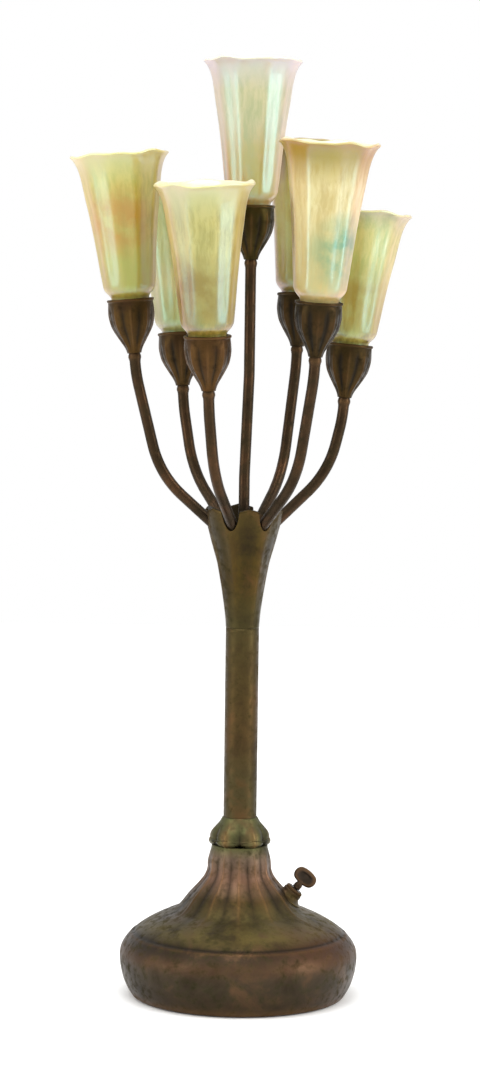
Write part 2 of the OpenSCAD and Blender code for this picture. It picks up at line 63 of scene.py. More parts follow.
def add(tree, kind, inputs=(), stops=(), **settings):
    """One shader node with its settings, its inputs, and its colour ramp's stops as (place, hex code)."""
    made = tree.nodes.new("ShaderNode" + kind)
    for name, value in settings.items():
        setattr(made, name, value)
    feed(tree, made, dict(inputs))
    for i, (place, code) in enumerate(stops):
        stop = made.color_ramp.elements[i] if i < 2 else made.color_ramp.elements.new(place)
        stop.position, stop.color = place, colour(code)
    return made


def material(name):
    """An empty material, its node tree and its Principled shader."""
    made = bpy.data.materials.new(name)
    made.use_nodes = True
    tree = made.node_tree
    return made, tree, tree.nodes["Principled BSDF"]


scene = bpy.context.scene
scene.view_settings.view_transform = "Standard"
world = bpy.data.worlds.new("white_studio")
world.use_nodes = True
feed(world.node_tree, world.node_tree.nodes["Background"], {"Color": colour("#ffffff"), "Strength": 1.0})
scene.world = world

FLOOR_HALF = 3.0
corners = np.array([(-1, -1, 0), (1, -1, 0), (1, 1, 0), (-1, 1, 0)]) * FLOOR_HALF
floor_mesh = bpy.data.meshes.new("paper_floor")
floor_mesh.from_pydata(corners.tolist(), [], [(0, 1, 2, 3)])
floor = bpy.data.objects.new("paper_floor", floor_mesh)
scene.collection.objects.link(floor)
# a faint cloudiness of some 25 mm keeps the white from looking blank
paper, tree, shader = material("matt_white_paper")
place = add(tree, "TexCoord").outputs["Object"]
cloud = add(tree, "TexNoise", {"Vector": place, "Scale": 40.0, "Detail": 3.0})
tint = add(tree, "ValToRGB", {"Fac": cloud.outputs["Fac"]}, stops=[(0.3, "#f9f9f8"), (0.7, "#fdfdfc")])
feed(tree, shader, {"Base Color": tint.outputs["Color"], "Roughness": 0.9})
floor_mesh.materials.append(paper)

# softboxes: place, what it faces, width, height, power in watts
SOFTBOXES = {
    "left_softbox": ((-1.5, -0.7, 0.9), (0, 0, 0.45), 0.5, 1.7, 11),
    "right_softbox": ((1.5, -0.6, 0.9), (0, 0, 0.45), 0.5, 1.7, 17),
    "overhead_softbox": ((-0.2, -0.5, 2.1), (0, 0, 0.4), 1.1, 1.1, 16),
}
for name, (place, target, wide, tall, watts) in SOFTBOXES.items():
    lamp = bpy.data.lights.new(name, "AREA")
    lamp.shape, lamp.size, lamp.size_y, lamp.energy = "RECTANGLE", wide, tall, watts
    holder = bpy.data.objects.new(name, lamp)
    holder.location = place
    aim = np.array(target) - np.array(place)
    holder.rotation_euler = (math.acos(-aim[2] / np.linalg.norm(aim)), 0,
                             math.atan2(aim[1], aim[0]) - math.pi / 2)
    scene.collection.objects.link(holder)

# a very broad, weak light from high in front evens out the paper
FILL_STRENGTH, FILL_SPREAD, FILL_TILT = 0.6, math.radians(120), math.radians(25)
fill = bpy.data.lights.new("ceiling_fill", "SUN")
fill.energy, fill.angle = FILL_STRENGTH, FILL_SPREAD
holder = bpy.data.objects.new("ceiling_fill", fill)
holder.rotation_euler = (FILL_TILT, 0, 0)
scene.collection.objects.link(holder)

CAMERA_PLACE = (0.0, -2.68, 0.603)
CAMERA_LENS, CAMERA_FILM = 105.7, 36
CAMERA_DOWN, CAMERA_LEFT, CAMERA_ROLL = math.radians(4.43), math.radians(0.066), math.radians(0.75)
camera = bpy.data.objects.new("camera", bpy.data.cameras.new("camera"))
camera.data.lens = CAMERA_LENS
camera.data.sensor_width = CAMERA_FILM
camera.location = CAMERA_PLACE
# the camera's own axes: right, up and backwards
look = np.array([-math.sin(CAMERA_LEFT) * math.cos(CAMERA_DOWN),
                 math.cos(CAMERA_LEFT) * math.cos(CAMERA_DOWN), -math.sin(CAMERA_DOWN)])
right = np.cross(look, (0, 0, 1))
right /= np.linalg.norm(right)
up = np.cross(right, look)
rolled_right = math.cos(CAMERA_ROLL) * right + math.sin(CAMERA_ROLL) * up
rolled_up = math.cos(CAMERA_ROLL) * up - math.sin(CAMERA_ROLL) * right
camera_axes = np.stack([rolled_right, rolled_up, -look], axis=1)
camera.rotation_mode = "QUATERNION"
camera.rotation_quaternion = mathutils.Matrix(camera_axes.tolist()).to_quaternion()
scene.collection.objects.link(camera)
scene.camera = camera


# ---------------------------------------------------------------------------
# Foot: one hollow bronze casting, round and onion shaped, with a neck. It is
# sand cast, chased by hand and patinated; the bottom plate is screwed into it.
# ---------------------------------------------------------------------------
MM = 0.001


def curve(a, b, c, d, spans=24):
    """Cubic Bezier curve: (1-t)^3 a + 3(1-t)^2 t b + 3(1-t) t^2 c + t^3 d."""
    t = np.linspace(0, 1, spans + 1)[:, None]
    a, b, c, d = (np.array(p, float) for p in (a, b, c, d))
    return (1 - t) ** 3 * a + 3 * (1 - t) ** 2 * t * b + 3 * (1 - t) * t ** 2 * c + t ** 3 * d


def chain(*curves):
    """Curves joined end to end, each shared point kept once."""
    return np.concatenate([curves[0]] + [c[1:] for c in curves[1:]])


def soften(points, cut, steps=4):
    """Corners rounded: each point becomes a quadratic Bezier arc between the points at the distance cut on
    either side, or at 0.45 of a shorter side. The outline is a closed loop."""
    p = np.array(points, float)
    before, after = np.roll(p, 1, 0) - p, np.roll(p, -1, 0) - p
    long_before = np.linalg.norm(before, axis=1, keepdims=True)
    long_after = np.linalg.norm(after, axis=1, keepdims=True)
    a = p + before / long_before * np.minimum(cut, 0.45 * long_before)
    b = p + after / long_after * np.minimum(cut, 0.45 * long_after)
    t = np.linspace(0, 1, steps + 1)[None, :, None]
    arcs = (1 - t) ** 2 * a[:, None] + 2 * t * (1 - t) * p[:, None] + t ** 2 * b[:, None]
    return arcs.reshape(-1, 2)


def inset(line, wall):
    """The outline moved inwards by the wall: each point goes to the left of its own direction."""
    d = np.gradient(line, axis=0)
    return line + wall * np.stack([-d[:, 1], d[:, 0]], 1) / np.linalg.norm(d, axis=1, keepdims=True)


def turned(line, angles, relief=0.0):
    """Surface of revolution: (r cos a, r sin a, z) for each point (r, z) of the line and each angle a. The
    relief is added along the line's outward normal."""
    d = np.gradient(line, axis=0)
    out = np.stack([d[:, 1], -d[:, 0]], 1) / np.linalg.norm(d, axis=1, keepdims=True)
    relief = np.broadcast_to(relief, (len(line), len(angles)))
    r = line[:, 0, None] + relief * out[:, 0, None]
    z = line[:, 1, None] + relief * out[:, 1, None]
    return np.stack([r * np.cos(angles), r * np.sin(angles), z], -1)


def around(count):
    """Evenly spaced angles round a full circle."""
    return np.linspace(0, 2 * math.pi, count, endpoint=False)


def bell(x, centre, width):
    """Bell curve: e to the power of minus the square of (x - centre) / width."""
    return np.exp(-((x - centre) / width) ** 2)


def ramp(x, start, end):
    """0 before the start, 1 past the end, and a straight line between; the end may be the lower one."""
    return np.clip((x - start) / (end - start), 0, 1)


def turn_between(a, b):
    """The smaller angle between two directions, from 0 to pi."""
    return np.abs((a - b + math.pi) % (2 * math.pi) - math.pi)


def skin(name, grid, finish, loop=False, ends=False, **fields):
    """Mesh over a grid of points in millimetres: rows along the surface, columns round it. loop joins the
    last row to the first, and ends closes the first and last row to a point. Fields become attributes."""
    rows, cols = grid.shape[:2]
    points = grid.reshape(-1, 3)
    index = np.arange(rows * cols).reshape(rows, cols)
    if loop:
        index = np.concatenate([index, index[:1]])
    a, b = index[:-1], index[1:]
    faces = np.stack([a, np.roll(a, -1, 1), np.roll(b, -1, 1), b], -1).reshape(-1, 4).tolist()
    if ends:
        first, last = len(points), len(points) + 1
        points = np.concatenate([points, grid[:1].mean(1), grid[-1:].mean(1)])
        near, far = index[0], index[-1]
        faces += np.stack([np.full(cols, first), np.roll(near, -1), near], -1).tolist()
        faces += np.stack([np.full(cols, last), far, np.roll(far, -1)], -1).tolist()
    mesh = bpy.data.meshes.new(name)
    mesh.from_pydata((points * MM).tolist(), [], faces)
    mesh.polygons.foreach_set("use_smooth", np.ones(len(faces), bool))
    for field, values in fields.items():
        values = np.asarray(values, np.float32)
        if values.ndim == 3:
            mesh.attributes.new(field, "FLOAT_VECTOR", "POINT").data.foreach_set("vector", values.ravel())
        else:
            values = np.broadcast_to(values, (rows, cols)).ravel()
            if ends:
                values = np.append(values, (values[0], values[-1]))
            mesh.attributes.new(field, "FLOAT", "POINT").data.foreach_set("value", values)
    mesh.materials.append(finish)
    made = bpy.data.objects.new(name, mesh)
    scene.collection.objects.link(made)
    return made


def fade(tree, value, start, end, low=0.0, high=1.0):
    """The value carried in a straight line from start..end to low..high, and held between the two."""
    return add(tree, "MapRange", {"Value": value, "From Min": start, "From Max": end,
                                  "To Min": low, "To Max": high}).outputs["Result"]


def over(tree, share, base, code):
    """A colour laid over the base: (1 - share) x base + share x the hex code's colour."""
    return add(tree, "Mix", {0: share, 6: base, 7: colour(code)}, data_type="RGBA").outputs[2]


RED_FLUSH, WORN_AND_HIGHLIGHT_TONE, RECESS_AND_SHADE_TONE = "#5d3a26", "#7d5a35", "#1d170e"


def bronze(name, zones, dark, warm, green, rough=0.42, grit=0.35):
    """Bronze with a chemical patina. Its tone drifts with the height, as the zones say: (millimetres, hex
    code). Over that it is mottled darker and warmer over some 30 mm, like a brushed-on patina, and flecked
    green over some 7 mm. It is flushed red where the attribute flush says so; the second attribute makes it
    brighter, for worn high places and for painted highlights, and the third makes it darker, for patina in
    the recesses and for painted shade. grit is the grain of the cast skin, in millimetres."""
    made, tree, shader = material(name)
    place = add(tree, "TexCoord").outputs["Object"]
    cloud = add(tree, "TexNoise", {"Vector": place, "Scale": 34.0, "Detail": 5.0, "Roughness": 0.62,
                                   "Distortion": 0.4}).outputs["Fac"]
    spots = add(tree, "TexNoise", {"Vector": place, "Scale": 150.0, "Detail": 4.0,
                                   "Roughness": 0.6}).outputs["Fac"]
    height = add(tree, "SeparateXYZ", {"Vector": place}).outputs["Z"]
    low, high = zones[0][0], zones[-1][0]
    drift = add(tree, "ValToRGB", {"Fac": fade(tree, height, low * MM, high * MM)},
                stops=[((z - low) / (high - low), code) for z, code in zones])
    tone = over(tree, fade(tree, cloud, 0.5, 0.32, 0.0, 0.75), drift.outputs["Color"], dark)
    tone = over(tree, fade(tree, cloud, 0.52, 0.7, 0.0, 0.7), tone, warm)
    fleck = fade(tree, spots, 0.47, 0.76, 0.0, 0.5)
    tone = over(tree, fleck, tone, green)
    flush, wear, hollow = (add(tree, "Attribute", attribute_name=field).outputs["Fac"]
                           for field in ("flush", "wear", "hollow"))
    tone = over(tree, flush, tone, RED_FLUSH)
    # worn high places, and painted highlights where the mask asks for them, are laid in a lighter bronze
    worn_and_highlit = add(tree, "Math", {0: wear, 1: spots}, operation="MULTIPLY", use_clamp=True)
    tone = over(tree, worn_and_highlit.outputs["Value"], tone, WORN_AND_HIGHLIGHT_TONE)
    # dark patina in the recesses, and painted shade where the mask asks for it
    tone = over(tree, hollow, tone, RECESS_AND_SHADE_TONE)
    gloss = fade(tree, cloud, 0.3, 0.7, rough + 0.09, rough - 0.07)
    duller = add(tree, "Math", {0: gloss, 1: fleck}, operation="ADD")
    grain = add(tree, "TexNoise", {"Vector": place, "Scale": 1 / (2 * grit * MM), "Detail": 2.0})
    heights = add(tree, "Math", {0: grain.outputs["Fac"], 1: cloud}, operation="ADD")
    bump = add(tree, "Bump", {"Height": heights.outputs["Value"], "Strength": 0.35, "Distance": 0.00012})
    feed(tree, shader, {"Base Color": tone, "Metallic": 0.9, "Roughness": duller.outputs["Value"],
                        "Normal": bump.outputs["Normal"]})
    return made


FOOT_BOTTOM, FOOT_RING_R, BELLY_R, BELLY_Z = 1, 90.5, 102, 36
SLOPE, SHOULDER, SHOULDER_TILT = (58.5, 73), (43.5, 87), math.radians(40)
NECK_R, NECK_Z, NECK_TOP_R, FOOT_H = 26.5, 109, 24, 131
CAST_WALL, FLANGE_T, BORE_R = 3.2, 6, 12.2
PLATE_R, PLATE_TOP, LEDGE_R, LEDGE_TOP = 84.5, 5, 80.5, 9
slope, slope_dir = np.array(SLOPE), np.array([0.94, -0.34])
shoulder = np.array(SHOULDER)
shoulder_dir = np.array([math.cos(SHOULDER_TILT - math.pi / 2), math.sin(SHOULDER_TILT - math.pi / 2)])
lead = 0.35 * np.linalg.norm(slope - shoulder)
foot_line = chain(
    curve((FOOT_RING_R, FOOT_BOTTOM), (FOOT_RING_R + 5, 6), (BELLY_R, BELLY_Z - 16), (BELLY_R, BELLY_Z)),
    curve((BELLY_R, BELLY_Z), (BELLY_R, BELLY_Z + 15), slope + 24 * slope_dir, slope, 32),
    curve(slope, slope - lead * slope_dir, shoulder + lead * shoulder_dir, shoulder, 12),
    curve(shoulder, shoulder - 13 * shoulder_dir, (NECK_R, NECK_Z - 6), (NECK_R, NECK_Z + 4)),
    curve((NECK_R, NECK_Z + 4), (NECK_R, FOOT_H - 9), (NECK_TOP_R, FOOT_H - 4), (NECK_TOP_R, FOOT_H), 10))
foot_angles = around(288)
z = foot_line[:, 1, None]

# chased into the casting: a groove and a bead round the belly, and twelve shallow leaves, each with a
# fine midrib, that rise up the neck
GROOVE_Z, BEAD_Z = 56, 53.6
LEAVES, LEAVES_FROM, LEAVES_TO, LEAF_DEPTH, MIDRIB = 12, 62, 128, 0.75, 0.5
MEAN_LOBE = 0.64        # the mean of |cos|, taken off so that lobes don't thicken the wall
rings = -0.55 * bell(z, GROOVE_Z, 0.8) + 0.35 * bell(z, BEAD_Z, 1.1)
leaf = np.abs(np.cos(foot_angles * LEAVES / 2))
leaf_share = ramp(z, LEAVES_FROM, LEAVES_FROM + 26) * ramp(z, LEAVES_TO, LEAVES_TO - 12)
relief = rings + leaf_share * (LEAF_DEPTH * (leaf - MEAN_LOBE) + MIDRIB * bell(leaf, 1, 0.012))
relief[0] = relief[-1] = 0

# the leaves and the bottom edge are rubbed where hands take hold, and a faint painted highlight runs round
# the upper belly at 42 mm; the patina is redder on the neck, on a band round the belly and on its right-hand
# side; painted shade darkens the underside and the flanks of the slope, most at the left
FLUSH_TURN = math.radians(-37)
wear = 0.6 * np.clip(relief / 0.7, 0, 1) + 0.12 * bell(z, 42, 5) + 0.7 * bell(z, 2, 4)
from_right = turn_between(foot_angles, FLUSH_TURN)
flush = (0.45 * bell(from_right, 0, 0.5) * bell(z, 54, 12)
         + 0.18 * bell(z, 41, 6) + 0.3 * bell(z, 106, 9))
painted_underside_shade = 0.45 * ramp(z, 24, 0) * ramp(z, 0, 8)
side = np.cos(foot_angles)
painted_side_shade = (0.62 * np.clip(-side, 0, 1) + 0.2 * np.clip(side, 0, 1)) * bell(z, 74, 16)
hollow = np.clip(0.7 * np.clip(-relief / 0.5, 0, 1) + painted_underside_shade + painted_side_shade, 0, 1)

# inside: the flange that the tie rod clamps, the wall, and the ledge that the bottom plate is screwed to
inner = inset(foot_line, CAST_WALL)[::-6]
inner = inner[(inner[:, 1] < FOOT_H - FLANGE_T) & (inner[:, 1] > LEDGE_TOP + 6)]
inside = np.array([(BORE_R, FOOT_H), (BORE_R, FOOT_H - FLANGE_T), (inner[0, 0], FOOT_H - FLANGE_T), *inner,
                   (LEDGE_R, LEDGE_TOP), (LEDGE_R, PLATE_TOP), (PLATE_R, PLATE_TOP), (PLATE_R, FOOT_BOTTOM),
                   (FOOT_RING_R - 1, FOOT_BOTTOM)])
foot_grid = np.concatenate([turned(foot_line, foot_angles, relief), turned(inside, foot_angles)])
blank = np.zeros((len(inside), len(foot_angles)))
# the tones by height also carry painted light: the slope, 64 to 76 mm, faces upwards and is painted lighter
# as if lit from above
foot_bronze = bronze("cast_bronze_brown_patina",
                     [(0, "#4c3c28"), (10, "#3c2f20"), (24, "#352c20"), (41, "#3f3427"), (55, "#271d13"),
                      (64, "#60532a"), (76, "#514727"), (88, "#3e3117"), (104, "#6e5748"), (122, "#665546"),
                      (130, "#545233"), (160, "#505030")],
                     "#292015", "#573f2a", "#434226")
foot = skin("foot_casting", foot_grid, foot_bronze, loop=True,
            wear=np.concatenate([wear, blank]), hollow=np.concatenate([hollow, blank + 0.6]),
            flush=np.concatenate([flush, blank]))
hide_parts("base_shell")
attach(foot, "lamp")


def leaned(angle):
    """Rotation matrix that leans +Z over towards +X."""
    c, s = math.cos(angle), math.sin(angle)
    return np.array([[c, 0, s], [0, 1, 0], [-s, 0, c]])


def at_switch(grid):
    """Points from the switch's own frame, +Z out of the shoulder, to the lamp's."""
    return grid @ leaned(SHOULDER_TILT).T + (SHOULDER[0], 0, SHOULDER[1])


# the boss is part of the casting: a short stub that flares into the shoulder
BOSS_R, BOSS_OUT, BOSS_IN, BOSS_BORE_R = 8.5, 5, 5, 5.1
boss_line = np.concatenate([
    curve((BOSS_R + 5.5, -2.2), (BOSS_R + 1.6, -0.6), (BOSS_R, 0.6), (BOSS_R, 3), 10),
    soften([(BOSS_R, BOSS_OUT), (BOSS_BORE_R, BOSS_OUT), (BOSS_BORE_R, -BOSS_IN),
            (BOSS_R + 3, -BOSS_IN)], 0.6)])
boss = skin("foot_boss", at_switch(turned(boss_line, around(64))), foot_bronze, loop=True,
            wear=0.1, hollow=0.0)
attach(boss, "lamp")


# ---------------------------------------------------------------------------
# Underside: felt on a steel plate, with a cast-iron weight above it. The plate
# is zinc plated and held by four countersunk screws.
# ---------------------------------------------------------------------------
def dress(finish, *names):
    """Gives CAD nodes their finish."""
    for name in names:
        cad[name].data.materials.clear()
        cad[name].data.materials.append(finish)


# matted fibres of about 1 mm, with paler, trodden patches of some 17 mm
felt, tree, shader = material("green_wool_felt")
place = add(tree, "TexCoord").outputs["Object"]
fibre = add(tree, "TexNoise", {"Vector": place, "Scale": 900.0, "Detail": 4.0, "Distortion": 1.2})
trodden = add(tree, "TexNoise", {"Vector": place, "Scale": 60.0, "Detail": 3.0})
both = add(tree, "Math", {0: fibre.outputs["Fac"], 1: trodden.outputs["Fac"]}, operation="MULTIPLY")
tint = add(tree, "ValToRGB", {"Fac": both.outputs["Value"]}, stops=[(0.12, "#16281d"), (0.4, "#2c4a35")])
bump = add(tree, "Bump", {"Height": fibre.outputs["Fac"], "Strength": 0.6, "Distance": 0.0004})
feed(tree, shader, {"Base Color": tint.outputs["Color"], "Roughness": 0.95, "Sheen Weight": 0.5,
                    "Normal": bump.outputs["Normal"]})
dress(felt, "felt_pad")


def plain_metal(name, low, high, rough, cells, metallic=1.0, depth=0.00005):
    """Bare or plated metal: two near tones in a grain of so many cells to the metre (3 to 6 mm each), like
    the clouding of plate or of a wiped surface, which also moves the gloss."""
    made, tree, shader = material(name)
    place = add(tree, "TexCoord").outputs["Object"]
    grain = add(tree, "TexNoise", {"Vector": place, "Scale": cells, "Detail": 5.0,
                                   "Roughness": 0.6}).outputs["Fac"]
    tint = add(tree, "ValToRGB", {"Fac": grain}, stops=[(0.35, low), (0.65, high)])
    bump = add(tree, "Bump", {"Height": grain, "Strength": 0.4, "Distance": depth})
    feed(tree, shader, {"Base Color": tint.outputs["Color"], "Metallic": metallic,
                        "Roughness": fade(tree, grain, 0.0, 1.0, rough - 0.08, rough + 0.1),
                        "Normal": bump.outputs["Normal"]})
    return made


zinc = plain_metal("zinc_plated_steel", "#8f8f88", "#b1b0a6", 0.38, 220.0)
iron = plain_metal("sand_cast_iron", "#2b2b2c", "#3e3c3a", 0.7, 320.0, 0.6, 0.0004)
brass = plain_metal("turned_brass", "#8a6c34", "#b18f4c", 0.3, 160.0)
dress(zinc, "bottom_plate", "plate_screws", "neck_washer")
dress(iron, "ballast")
dress(brass, "bushing_nut", "tie_rod", "tie_nuts", "stem_hub")


# ---------------------------------------------------------------------------
# Cord outlet: a black moulded rubber bushing at the back of the foot, held by
# a brass nut inside. Its flange is rounded over so that it won't cut a cord.
# ---------------------------------------------------------------------------
def moulded(name, low, high, rough, cells, depth=0.00008):
    """Moulded rubber or resin: nearly black, with a skin that dust and handling have mottled in a grain of
    so many cells to the metre (2 to 4 mm each)."""
    made, tree, shader = material(name)
    place = add(tree, "TexCoord").outputs["Object"]
    grain = add(tree, "TexNoise", {"Vector": place, "Scale": cells, "Detail": 4.0}).outputs["Fac"]
    tint = add(tree, "ValToRGB", {"Fac": grain}, stops=[(0.35, low), (0.7, high)])
    bump = add(tree, "Bump", {"Height": grain, "Strength": 0.3, "Distance": depth})
    feed(tree, shader, {"Base Color": tint.outputs["Color"],
                        "Roughness": fade(tree, grain, 0.0, 1.0, rough - 0.06, rough + 0.12),
                        "Normal": bump.outputs["Normal"]})
    return made


rubber = moulded("black_moulded_rubber", "#15130f", "#24211c", 0.62, 500.0)
OUTLET_FACE, OUTLET_Z, OUTLET_R = 94.6724, 15, 3.5
SLEEVE_R, SLEEVE_LEN, OUTLET_FLANGE_R, OUTLET_FLANGE_T = 5, 11.5, 6.9, 2.4
bushing_line = soften([(OUTLET_R, -SLEEVE_LEN), (SLEEVE_R, -SLEEVE_LEN), (SLEEVE_R, -0.1),
                       (OUTLET_FLANGE_R, 0.1), (OUTLET_FLANGE_R, 1.6), (5.6, OUTLET_FLANGE_T),
                       (OUTLET_R + 0.5, OUTLET_FLANGE_T), (OUTLET_R, 1.6)], 0.7)
grid = turned(bushing_line, around(48))
grid = np.stack([grid[..., 0], grid[..., 2] + OUTLET_FACE, OUTLET_Z - grid[..., 1]], -1)
bushing = skin("outlet_bushing", grid, rubber, loop=True)
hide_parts("cord_bushing")
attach(bushing, "lamp")
dress(rubber, "shade_seats")


# ---------------------------------------------------------------------------
# Switch: a rotary switch behind the shoulder, a knurled round nut outside it,
# and a cast key with a flat paddle that turns on its spindle.
# ---------------------------------------------------------------------------
phenolic = moulded("moulded_phenolic", "#120e0b", "#221913", 0.3, 240.0)
dress(phenolic, "switch_body")

NUT_R, NUT_T, NUT_BORE_R, KNURLS, KNURL_DEPTH = 8.0, 3.0, 5.05, 36, 0.35
nut_top = BOSS_OUT + NUT_T
angles = around(KNURLS * 8)
nut_line = soften([(NUT_BORE_R, BOSS_OUT), (NUT_R, BOSS_OUT), (NUT_R, nut_top - 1), (NUT_R - 1.5, nut_top),
                   (NUT_BORE_R, nut_top)], 0.35)
outside = np.clip((nut_line[:, 0, None] - NUT_R + 0.9) / 0.7, 0, 1)
knurl = -KNURL_DEPTH * outside * (0.5 - 0.5 * np.cos(angles * KNURLS)) ** 2
nut = skin("switch_ring_nut", at_switch(turned(nut_line, angles, knurl)), foot_bronze, loop=True,
           wear=0.5 * outside, hollow=0.7 * np.clip(-knurl / KNURL_DEPTH, 0, 1))
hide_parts("switch_nut")
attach(nut, "lamp")

# the paddle: an oblong, dished on both faces, with a rounded edge. Its rows run from the middle of one
# face out to the edge, round it, and back to the middle of the other face.
KEY_W, KEY_H, KEY_T, KEY_HUB, KEY_DISH = 21.0, 14.0, 3.4, 7.0, 0.38
KEY_BASE = nut_top + 0.6
FACE_ROWS, EDGE_ROWS = 35, 9
key_bronze = bronze("key_bronze_worn_by_hands", [(80, "#35291d"), (120, "#3d332c")],
                    "#211a12", "#4f4036", "#3a3730", 0.34)
t = np.linspace(0, 1, FACE_ROWS + 1)
half_turn = np.linspace(0, math.pi, EDGE_ROWS)
out = np.concatenate([t[:-1], np.ones(EDGE_ROWS), t[::-1][1:]])[:, None]
face = np.concatenate([-np.ones(FACE_ROWS), -np.cos(half_turn), np.ones(FACE_ROWS)])[:, None]
bulge = np.concatenate([np.zeros(FACE_ROWS), np.sin(half_turn), np.zeros(FACE_ROWS)])[:, None]
dish = 1 - KEY_DISH * np.clip(1 - (out / 0.72) ** 4, 0, 1)
angles = around(96)[::-1]
flat, end_r = (KEY_W - KEY_H) / 2, KEY_H / 2 - KEY_T / 2
key_x = (out * (flat * np.clip(np.cos(angles) * 1.6, -1, 1) + end_r * np.cos(angles))
         + bulge * KEY_T / 2 * np.cos(angles))
key_z = out * end_r * np.sin(angles) + bulge * KEY_T / 2 * np.sin(angles)
key_y = np.broadcast_to(face * dish * KEY_T / 2, key_x.shape)
key_grid = np.stack([key_x, key_y, key_z + KEY_BASE + KEY_HUB - 2 + KEY_H / 2], -1)
rim = ramp(out, 0.7, 0.95)
key = skin("switch_key_paddle", at_switch(key_grid[1:-1]), key_bronze, ends=True,
           wear=0.5 * rim[1:-1], hollow=0.3 * (1 - rim[1:-1]))
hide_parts("switch_key")
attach(key, "key")

SPINDLE_R, SPINDLE_IN, KEY_NECK_R = 2, 7.6, 3.5
spindle_line = np.concatenate([[(SPINDLE_R, -SPINDLE_IN)], soften(
    [(SPINDLE_R, KEY_BASE - 0.1), (KEY_NECK_R, KEY_BASE), (KEY_NECK_R, KEY_BASE + 3.2),
     (2.2, KEY_BASE + KEY_HUB), (1.2, KEY_BASE + KEY_HUB + 2)], 0.5)[3:]])
spindle = skin("switch_key_spindle", at_switch(turned(spindle_line, around(40))), key_bronze, ends=True,
               wear=0.2, hollow=0.1)
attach(spindle, "key")


# ---------------------------------------------------------------------------
# Column: a drawn bronze tube between the foot and the capital, with a cast
# collar of six turned-down sepals over the joint with the neck.
# ---------------------------------------------------------------------------
COLUMN_R, COLUMN_LEN, COLUMN_ROWS = 14.2, 187, 60
COLUMN_TOP = FOOT_H + COLUMN_LEN
column_bronze = bronze("drawn_bronze_tube_olive_patina",
                       [(131, "#3d361f"), (190, "#3d361f"), (225, "#45351c"), (258, "#42351b"),
                        (324, "#3e371d"), (360, "#413310"), (418, "#393114")],
                       "#2a2011", "#563b22", "#3e391d", 0.38)
outer = np.stack([np.full(COLUMN_ROWS, COLUMN_R), np.linspace(FOOT_H, COLUMN_TOP, COLUMN_ROWS)], -1)
column_line = np.concatenate([outer, [(BORE_R, COLUMN_TOP), (BORE_R, FOOT_H)]])
column = skin("column_tube", turned(column_line, around(96)), column_bronze, loop=True,
              wear=0.08, hollow=0.0)
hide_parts("column")
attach(column, "lamp")

COLLAR_R, COLLAR_H, SEPALS, SEPAL_DEPTH, SEPAL_RIB = 26, 24, 6, 2.4, 0.5
COLLAR_BORE_R = COLUMN_R + 0.05
collar_line = np.concatenate([
    [(COLLAR_BORE_R, 0), (NECK_TOP_R - 1, 0)],
    soften([(NECK_TOP_R - 1, 0), (COLLAR_R - 1.2, 0.8), (COLLAR_R, 2.6), (COLLAR_R, 4.4),
            (COLLAR_R - 0.9, 6)], 0.9)[4:],
    curve((COLLAR_R - 0.9, 6), (COLLAR_R - 1, 0.58 * COLLAR_H), (COLUMN_R + 5, 0.62 * COLLAR_H),
          (COLUMN_R + 1, COLLAR_H - 0.5), 28)[1:],
    [(COLUMN_R + 0.5, COLLAR_H), (COLLAR_BORE_R, COLLAR_H)]])
angles = around(240)
sepal = np.abs(np.cos((angles - math.radians(60)) * SEPALS / 2))
r, z = collar_line[:, 0, None], collar_line[:, 1, None]
sepal_share = ramp(z, COLLAR_H - 3, COLLAR_H - 15) * (r > COLUMN_R + 0.3)
relief = sepal_share * (SEPAL_RIB * bell(sepal, 1, 0.02) - SEPAL_DEPTH * (1 - sepal) ** 1.5)
collar_grid = turned(collar_line, angles, relief) + (0, 0, FOOT_H)
collar = skin("neck_collar", collar_grid, foot_bronze, loop=True,
              wear=0.7 * sepal_share * sepal ** 8, hollow=0.8 * np.clip(-relief / 2.2, 0, 1))
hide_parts("collar")
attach(collar, "lamp")


# ---------------------------------------------------------------------------
# Capital: a flared casting on top of the column. Each of the six outer stems
# lies in its own sheath and leaves by a notch in the mouth.
# ---------------------------------------------------------------------------
STEM_TURN = [0, 7, 62, 130, 187, 249, 307]
CAPITAL_H, CAPITAL_MOUTH_R, CAPITAL_WALL, FLARE_H = 100, 33.5, 2.9, 55
HUB_Z, HUB_T, HUB_R, HUB_SEAT_R = COLUMN_TOP + FLARE_H, 10, 17.85, 21.35
CAPITAL_TOP = COLUMN_TOP + CAPITAL_H
capital_line = chain(
    curve((COLUMN_R, COLUMN_TOP), (COLUMN_R + 0.3, COLUMN_TOP + 0.25 * FLARE_H),
          (HUB_SEAT_R - 2.6, HUB_Z - 0.25 * FLARE_H), (HUB_SEAT_R, HUB_Z), 32),
    curve((HUB_SEAT_R, HUB_Z), (HUB_SEAT_R + 2.6, HUB_Z + 12),
          (CAPITAL_MOUTH_R - 3.6, CAPITAL_TOP - 18), (CAPITAL_MOUTH_R, CAPITAL_TOP), 36))
angles = around(360)
apart = turn_between(angles[:, None], np.radians(STEM_TURN[1:])).min(1)

# a notch round each stem, and a petal that rises to a point between two stems
NOTCH, PETAL, SHEATH = 16.0, 3.0, 2.1
NOTCH_HALF, PETAL_HALF, SHEATH_HALF = math.radians(14), math.radians(20), math.radians(12)
sheath = bell(apart, 0, SHEATH_HALF)
scallop = (NOTCH * np.clip(1 - (apart / NOTCH_HALF) ** 2, 0, 1) ** 0.6
           - PETAL * ramp(apart, NOTCH_HALF, NOTCH_HALF + PETAL_HALF))


def flared(line, relief):
    """The capital's wall: the outline of revolution, its top lowered by the scallop of each direction, in
    proportion to the height above the hub, and its sheaths raised by the relief."""
    drop = ramp(line[:, 1, None], HUB_Z + HUB_T, CAPITAL_TOP) ** 2 * scallop
    grid = turned(line, angles, relief)
    slope = np.gradient(line[:, 0]) / np.maximum(np.gradient(line[:, 1]), 1e-6)
    shrink = 1 - drop * np.clip(slope, 0, 1.2)[:, None] / line[:, 0, None]
    return np.stack([grid[..., 0] * shrink, grid[..., 1] * shrink, grid[..., 2] - drop], -1)


